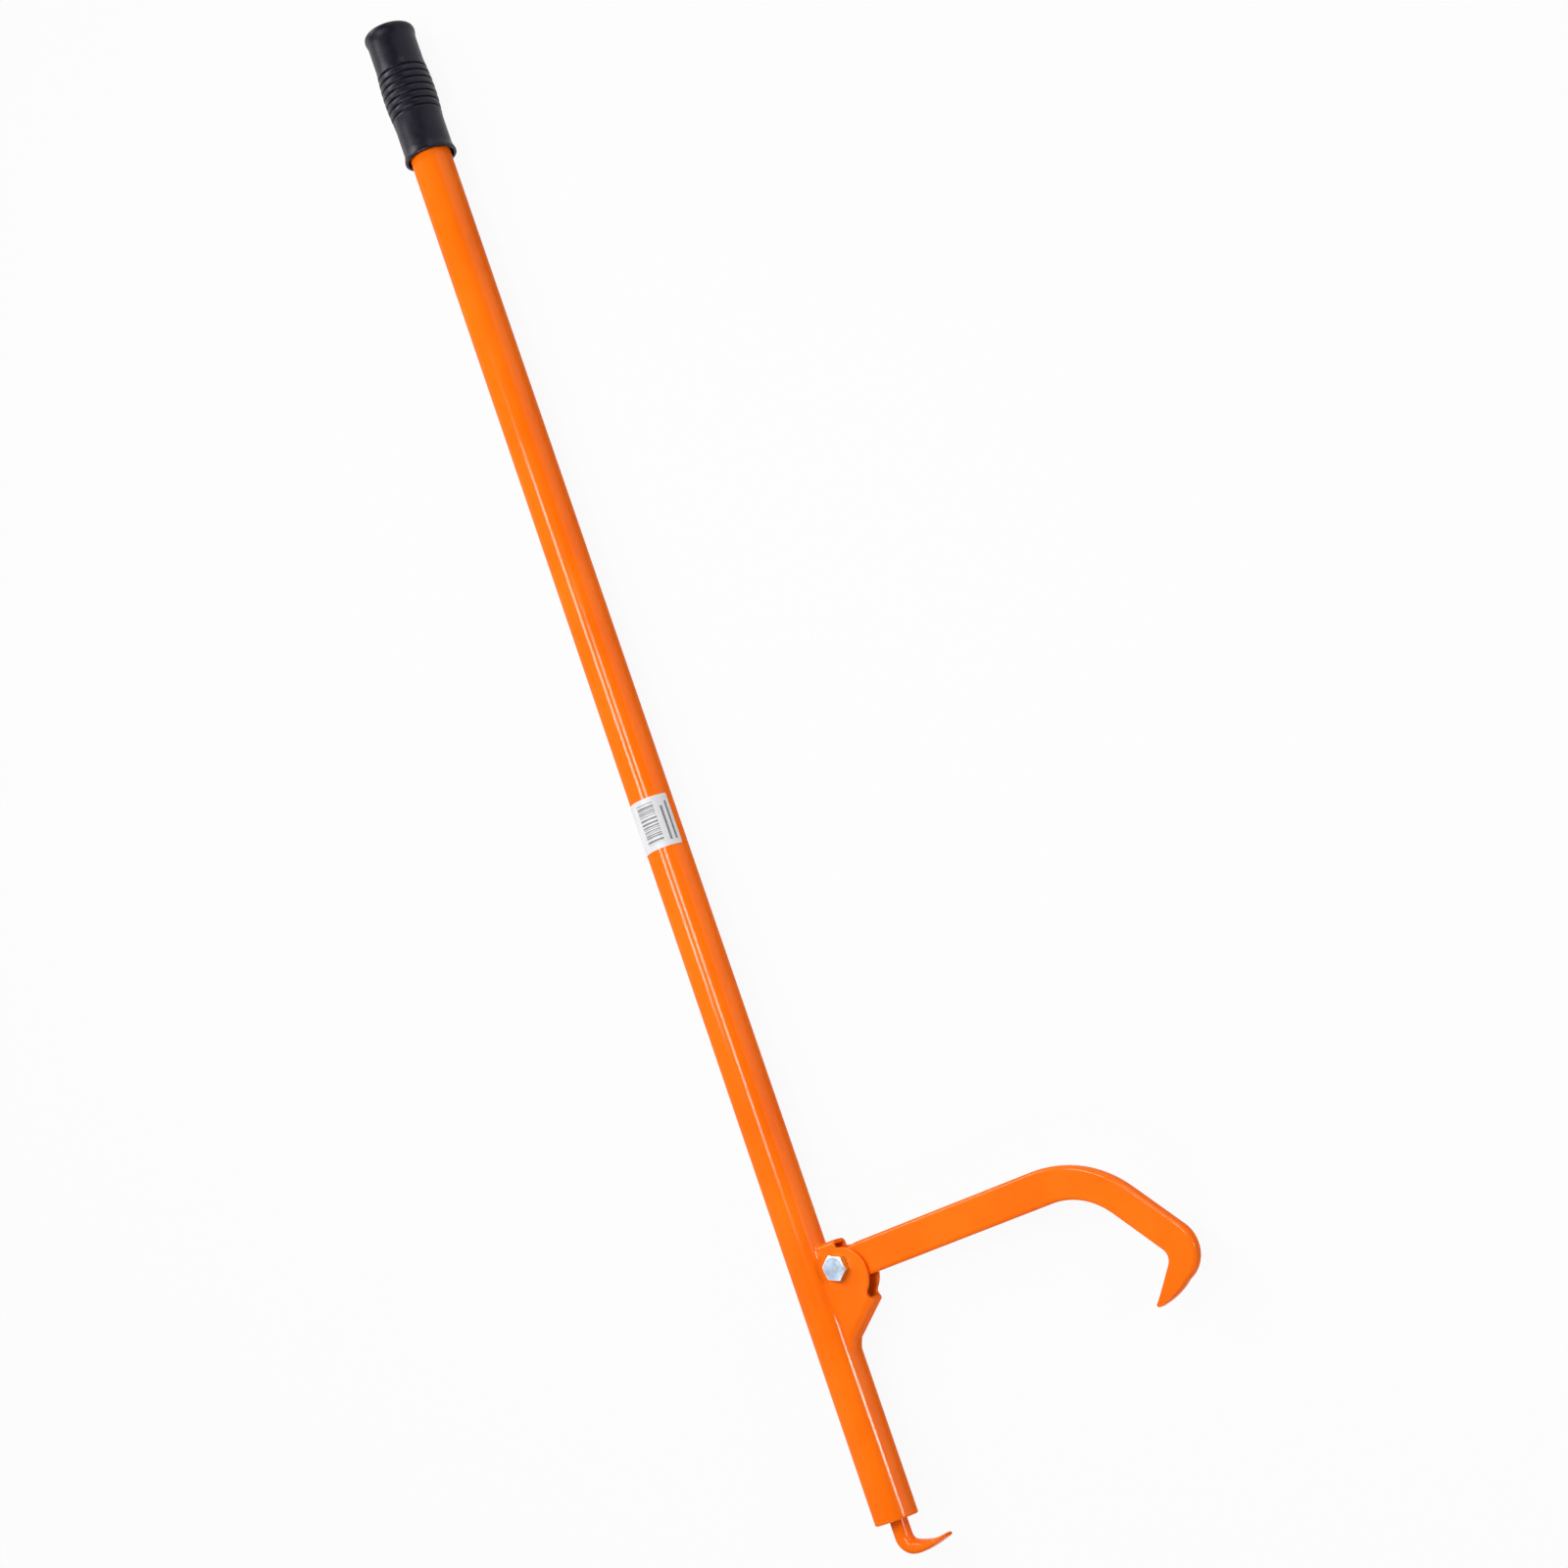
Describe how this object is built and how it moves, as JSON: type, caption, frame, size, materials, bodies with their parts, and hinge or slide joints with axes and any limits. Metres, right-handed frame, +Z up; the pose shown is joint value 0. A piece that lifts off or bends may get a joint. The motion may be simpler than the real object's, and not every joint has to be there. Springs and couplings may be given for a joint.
{
  "type": "cant hook",
  "caption": "Long tubular steel pole with a rubber grip, a bent flattened toe and a curved hook swinging on a bolt in a folded bracket, for levering and rolling logs.",
  "frame": {"origin": "middle of the grip's flat closed end, on the pole's axis", "axes": "+X to the side that the hook is on, +Y along the pole from the toe to the grip, +Z up with the tool lying on its side, on the side of the bolt's head"},
  "size_m": [0.3169, 1.2187, 0.0422],
  "materials": {
    "orange_paint": "glossy powder coat on steel",
    "black_rubber": "satin moulded rubber",
    "zinc_plate": "bright zinc plate",
    "blue_nylon": "matt nylon",
    "label_paper": "smooth coated paper"
  },
  "bodies": {
    "pole": {"handle_tube": "orange_paint", "rubber_grip": "black_rubber", "label": "label_paper", "end_plug": "orange_paint", "plug_weld": "orange_paint", "toe_spike": "orange_paint", "toe_weld": "orange_paint", "clevis_bracket": "orange_paint", "weld_front": "orange_paint", "weld_rear": "orange_paint", "weld_top": "orange_paint", "weld_foot": "orange_paint", "pivot_bolt": "zinc_plate", "lock_nut": "zinc_plate", "nut_ring": "blue_nylon"},
    "hook": {"hook": "orange_paint"}
  },
  "joints": [
    {"name": "hook_swing", "type": "hinge", "parent": "pole", "child": "hook", "pos_m": [0.0275, -1.0147, 0], "axis": [0, 0, 1], "range_deg": [-36, 30]}
  ]
}
